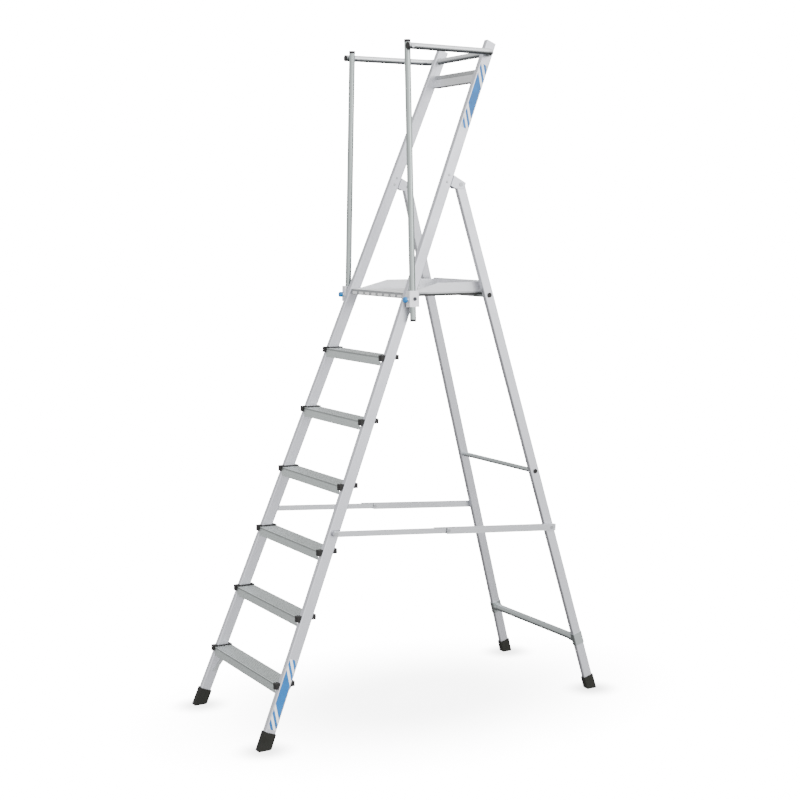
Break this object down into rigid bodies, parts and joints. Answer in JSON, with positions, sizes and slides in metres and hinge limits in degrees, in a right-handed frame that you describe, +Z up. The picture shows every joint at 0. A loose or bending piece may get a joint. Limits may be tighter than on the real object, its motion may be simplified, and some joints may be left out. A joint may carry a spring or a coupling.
{
  "type": "platform step ladder",
  "caption": "Folding platform step ladder with splayed front stiles, ribbed treads, a standing deck, rear legs with jointed braces and a folding guard rail.",
  "frame": {"origin": "centre of the footprint at floor level, half way between the front and rear feet", "axes": "+Z up, +Y from the treads towards the rear legs, +X to the climber's right"},
  "size_m": [0.6622, 1.5602, 2.6626],
  "materials": {
    "stile_metal": "satin anodised, fine lengthwise grain",
    "leg_metal": "satin anodised, fine lengthwise grain",
    "tread_metal": "ribbed extrusion, dull",
    "deck_metal": "embossed sheet, dull",
    "tube_metal": "satin",
    "rail_metal": "polished tube",
    "steel": "zinc plated",
    "black_plastic": "moulded, fine texture",
    "black_rubber": "matt, scuffed",
    "knob_blue": "smooth moulded",
    "label_blue": "printed film with white diagonal stripes"
  },
  "bodies": {
    "front_ladder": {"stile_left": "stile_metal", "stile_right": "stile_metal", "tread_1": "tread_metal", "tread_2": "tread_metal", "tread_3": "tread_metal", "tread_4": "tread_metal", "tread_5": "tread_metal", "tread_6": "tread_metal", "tread_caps_left": "black_plastic", "tread_caps_right": "black_plastic", "front_foot_left": "black_rubber", "front_foot_right": "black_rubber", "backrest_bar": "rail_metal", "hinge_bracket_left": "stile_metal", "hinge_bracket_right": "stile_metal", "hinge_pins": "steel", "ladder_rivets": "steel", "platform_pivot_bolts": "steel", "tread_gussets": "tread_metal", "label_left": "label_blue", "label_right": "label_blue", "rail_bushes": "black_plastic", "brace_spacers": "steel", "brace_pivot_rivets": "steel", "socket_pivot_bolts": "steel"},
    "rear_frame": {"leg_left": "leg_metal", "leg_right": "leg_metal", "rear_foot_left": "black_rubber", "rear_foot_right": "black_rubber", "platform_support_tube": "tube_metal", "mid_cross_tube": "tube_metal", "lower_cross_tube": "tube_metal", "cross_tube_sleeves": "tube_metal", "leg_plugs": "black_plastic", "leg_bolts": "steel"},
    "platform": {"platform_deck": "deck_metal", "platform_nose": "deck_metal", "platform_ribs": "deck_metal", "platform_toe_board": "tube_metal"},
    "rail": {"guard_rail": "rail_metal", "rail_end_caps": "black_plastic", "rail_post_bolts": "steel"},
    "brace_front_left": {"brace_bar_left": "tube_metal"},
    "brace_rear_left": {"brace_channel_left": "tube_metal", "brace_rear_pins_left": "steel"},
    "socket_left": {"post_socket_left": "tube_metal", "socket_bolt_left": "black_plastic"},
    "post_left": {"post_left": "rail_metal", "post_caps_left": "black_plastic"},
    "knob_left": {"socket_knob_left": "knob_blue"},
    "brace_front_right": {"brace_bar_right": "tube_metal"},
    "brace_rear_right": {"brace_channel_right": "tube_metal", "brace_rear_pins_right": "steel"},
    "socket_right": {"post_socket_right": "tube_metal", "socket_bolt_right": "black_plastic"},
    "post_right": {"post_right": "rail_metal", "post_caps_right": "black_plastic"},
    "knob_right": {"socket_knob_right": "knob_blue"}
  },
  "joints": [
    {"name": "rear_fold", "type": "hinge", "parent": "front_ladder", "child": "rear_frame", "pos_m": [0, 0.16286, 2.09563], "axis": [-1, 0, 0], "range_deg": [0, 37.84]},
    {"name": "platform_tilt", "type": "hinge", "parent": "front_ladder", "child": "platform", "pos_m": [0, -0.081, 1.662], "axis": [1, 0, 0], "range_deg": [0, 68]},
    {"name": "rail_fold", "type": "hinge", "parent": "front_ladder", "child": "rail", "pos_m": [0, 0.3026, 2.61], "axis": [1, 0, 0], "range_deg": [0, 67.97]},
    {"name": "brace_link_left", "type": "hinge", "parent": "front_ladder", "child": "brace_front_left", "pos_m": [-0.297, -0.43707, 0.782], "axis": [1, 0, 0], "range_deg": [0, 68.68]},
    {"name": "brace_knee_left", "type": "hinge", "parent": "brace_front_left", "child": "brace_rear_left", "pos_m": [-0.297, 0.05942, 0.74475], "axis": [-1, 0, 0], "range_deg": [0, 172.73]},
    {"name": "socket_swivel_left", "type": "hinge", "parent": "front_ladder", "child": "socket_left", "pos_m": [-0.2624, -0.08302, 1.657], "axis": [-0.9976, 0.0544, 0.0433], "range_deg": [0, 22.05]},
    {"name": "post_slide_left", "type": "slide", "parent": "socket_left", "child": "post_left", "axis": [-0.0434, 0, -0.9991], "range_m": [0, 0.31047]},
    {"name": "knob_pull_left", "type": "slide", "parent": "socket_left", "child": "knob_left", "axis": [-0.0543, -0.9985, 0.0024], "range_m": [0, 0.008], "stiffness_N_per_m": 500, "springref_m": -0.004},
    {"name": "brace_link_right", "type": "hinge", "parent": "front_ladder", "child": "brace_front_right", "pos_m": [0.297, -0.43707, 0.782], "axis": [1, 0, 0], "range_deg": [0, 68.68]},
    {"name": "brace_knee_right", "type": "hinge", "parent": "brace_front_right", "child": "brace_rear_right", "pos_m": [0.297, 0.05942, 0.74475], "axis": [-1, 0, 0], "range_deg": [0, 172.73]},
    {"name": "socket_swivel_right", "type": "hinge", "parent": "front_ladder", "child": "socket_right", "pos_m": [0.2624, -0.08302, 1.657], "axis": [-0.9976, -0.0544, -0.0433], "range_deg": [0, 22.05]},
    {"name": "post_slide_right", "type": "slide", "parent": "socket_right", "child": "post_right", "axis": [0.0434, 0, -0.9991], "range_m": [0, 0.31047]},
    {"name": "knob_pull_right", "type": "slide", "parent": "socket_right", "child": "knob_right", "axis": [0.0543, -0.9985, 0.0024], "range_m": [0, 0.008], "stiffness_N_per_m": 500, "springref_m": -0.004}
  ],
  "couplings": [
    {"joint": "platform_tilt", "follows": "rear_fold", "ratio": 1.7962},
    {"joint": "brace_link_left", "follows": "rear_fold", "ratio": 1.8142},
    {"joint": "brace_knee_left", "follows": "rear_fold", "ratio": 4.5639},
    {"joint": "socket_swivel_left", "follows": "rail_fold", "ratio": 0.32399},
    {"joint": "post_slide_left", "follows": "rail_fold", "m_per_rad": 0.26155},
    {"joint": "brace_link_right", "follows": "rear_fold", "ratio": 1.8142},
    {"joint": "brace_knee_right", "follows": "rear_fold", "ratio": 4.5639},
    {"joint": "socket_swivel_right", "follows": "rail_fold", "ratio": 0.32399},
    {"joint": "post_slide_right", "follows": "rail_fold", "m_per_rad": 0.26155}
  ]
}
